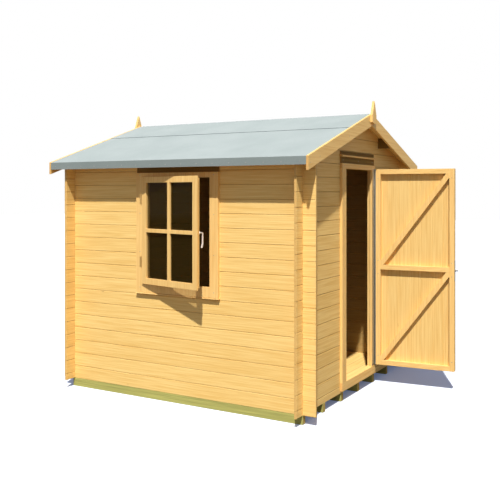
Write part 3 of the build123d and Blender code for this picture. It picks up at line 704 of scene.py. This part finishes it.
# %% Nails and screws
CLOUT_RADIUS = 5.5 * MM
SCREW_RADIUS = 4 * MM
NAIL_RADIUS = 3 * MM
HEAD_HEIGHT = 0.9 * MM
HEAD_TAPER = 0.7
HEAD_SIDES = 12
CLOUT_PITCH = 150 * MM
CLOUT_ABOVE_EDGE = 22 * MM
FACING = {"left": Vector((-1, 0, 0)), "right": Vector((1, 0, 0)), "front": Vector((0, -1, 0)),
          "back": Vector((0, 1, 0))}


def add_head(mesh, place, facing, radius):
    """Adds the low round head of a nail or screw at a place on a face."""
    turn = Vector(facing).to_track_quat("Z", "Y").to_matrix().to_4x4()
    bmesh.ops.create_cone(mesh, cap_ends=True, segments=HEAD_SIDES, radius1=radius,
                          radius2=radius * HEAD_TAPER, depth=HEAD_HEIGHT,
                          matrix=Matrix.Translation(Vector(place)) @ turn)


clouts = bmesh.new()
for sheet, facing, side in (("felt_window_side", "left", 0), ("felt_blank_side", "right", 1)):
    low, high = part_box(sheet)
    heads = int((high.y - low.y) / CLOUT_PITCH)
    for number in range(heads + 1):
        along = low.y + (high.y - low.y - heads * CLOUT_PITCH) / 2 + number * CLOUT_PITCH
        add_head(clouts, ((low.x, high.x)[side], along, low.z + CLOUT_ABOVE_EDGE),
                 FACING[facing], CLOUT_RADIUS)
new_piece("felt_clouts", clouts, zinc, "cabin")
print("clout nails along each eaves:", heads + 1)

# %% Screws in the trim
WINDOW_SCREW_IN = 40 * MM
WINDOW_SCREWS_UP = (42 * MM, 340 * MM)
WINDOW_SCREWS_DOWN = (340 * MM, 22 * MM)
JAMB_LEFT_IN = 42 * MM
JAMB_RIGHT_IN = 30 * MM
BARGE_BELOW_ROOF = 62 * MM
BARGE_SCREWS = (0.075, 0.507, 1.07, 1.23)
JAMB_SCREW_HEIGHTS = (0.3, 0.7, 1.1, 1.5, 1.85)
HEAD_SCREW_SHARES = (0.06, 0.5, 0.94)
screws = bmesh.new()
window_screws = [frame_low.z + up for up in WINDOW_SCREWS_UP]
window_screws += [frame_high.z - down for down in WINDOW_SCREWS_DOWN]
for along in (frame_low.y + WINDOW_SCREW_IN, frame_high.y - WINDOW_SCREW_IN):
    for height in window_screws:
        add_head(screws, (frame_low.x, along, height), FACING["left"], SCREW_RADIUS)
for jamb in ("door_jamb_left", "door_jamb_right"):
    low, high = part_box(jamb)
    middle = low.x + JAMB_LEFT_IN if jamb == "door_jamb_left" else high.x - JAMB_RIGHT_IN
    for height in JAMB_SCREW_HEIGHTS:
        add_head(screws, (middle, low.y, height), FACING["front"], SCREW_RADIUS)
for strip in ("door_cover_strip", "door_head"):
    low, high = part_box(strip)
    for share in HEAD_SCREW_SHARES:
        add_head(screws, (low.x + share * (high.x - low.x), low.y, (low.z + high.z) / 2),
                 FACING["front"], SCREW_RADIUS)
for gable, facing, end in (("bargeboards_front", "front", 0), ("bargeboards_back", "back", 1)):
    low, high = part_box(gable)
    for reach in BARGE_SCREWS:
        for side in (-1, 1):
            add_head(screws, (side * reach, (low.y, high.y)[end],
                              high.z - reach * SLOPE - BARGE_BELOW_ROOF), FACING[facing],
                     SCREW_RADIUS)
new_piece("trim_screws", screws, zinc, "cabin")
print("screws set in the trim")

# %% [markdown]
# The door stands open by 95 degrees, so its faces lie along no axis. A place on it is given as a
# cabinet maker would: how far from the hinge, how high, and how deep behind the inside face. Two
# vectors turn that into a place in the world. Nails go through each board into the three ledges,
# and their heads show in rows on the outside.

# %% Nails and screws in the door
DOOR_TURN = math.radians(95)
DOOR_HINGE = Vector((332.3 * MM, -1173 * MM, 0))
TO_FREE_EDGE = Vector((-math.cos(DOOR_TURN), -math.sin(DOOR_TURN), 0))
OUTWARD = Vector((math.sin(DOOR_TURN), -math.cos(DOOR_TURN), 0))
DOOR_BOARDS = 7
DOOR_START = 6.3 * MM
DOOR_DEPTH = 57 * MM
LEDGE_HEIGHTS = (194 * MM, 1057 * MM, 1920 * MM)
NAIL_SHARES = (0.3, 0.7)
STILE_MIDDLES = (28 * MM, 684 * MM)
SCREW_RISE = 60 * MM
DOOR_FOOT = 172 * MM
DOOR_TOP = 1942 * MM
FLAP_SCREWS = 9
FLAP_FIRST = 240 * MM
FLAP_PITCH = 200 * MM
FLAP_DEPTH = 27 * MM
FLAP_IN = 1.5 * MM


def on_door(from_hinge, height, depth):
    """A place on the open door."""
    return DOOR_HINGE + TO_FREE_EDGE * from_hinge + OUTWARD * depth + Vector((0, 0, height))


door_nails = bmesh.new()
for board in range(DOOR_BOARDS):
    for height in LEDGE_HEIGHTS:
        for share in NAIL_SHARES:
            along = DOOR_START + (board + share) * DOOR_BOARD
            add_head(door_nails, on_door(along, height, DOOR_DEPTH), OUTWARD, NAIL_RADIUS)
new_piece("door_nails", door_nails, zinc, "door")

door_screws = bmesh.new()
for from_hinge in STILE_MIDDLES:
    for height in LEDGE_HEIGHTS:
        for rise in (-SCREW_RISE, SCREW_RISE):
            if DOOR_FOOT < height + rise < DOOR_TOP:
                add_head(door_screws, on_door(from_hinge, height + rise, 0), -OUTWARD,
                         SCREW_RADIUS)
for number in range(FLAP_SCREWS):
    height = FLAP_FIRST + FLAP_PITCH * number
    add_head(door_screws, on_door(DOOR_START - FLAP_IN, height, FLAP_DEPTH), -TO_FREE_EDGE,
             SCREW_RADIUS)
new_piece("door_screws", door_screws, zinc, "door")
print("door fixings made")

# %% [markdown]
# No planed edge is perfectly sharp: a round of about a millimetre is left on it, and that round is
# what catches the light along a board. A bevel modifier does it for every timber, after
# a weld that joins the faces, which arrive separated.

# %% Eased edges
WELD = 0.01 * MM
EDGE_EASE = 1.2 * MM
EDGE_ANGLE = math.radians(40)
HARD_PIECES = {"window_glass", "felt_window_side", "felt_blank_side", "felt_ridge", "door_hinge",
               "door_hinge_flap", "window_hinges"}
for name, piece in nodes.items():
    weld = piece.modifiers.new("weld", "WELD")
    weld.merge_threshold = WELD
    if name not in HARD_PIECES:
        ease = piece.modifiers.new("ease", "BEVEL")
        ease.width = EDGE_EASE
        ease.segments = 1
        ease.limit_method = "ANGLE"
        ease.angle_limit = EDGE_ANGLE
print("edges eased on", len(nodes) - len(HARD_PIECES), "pieces")
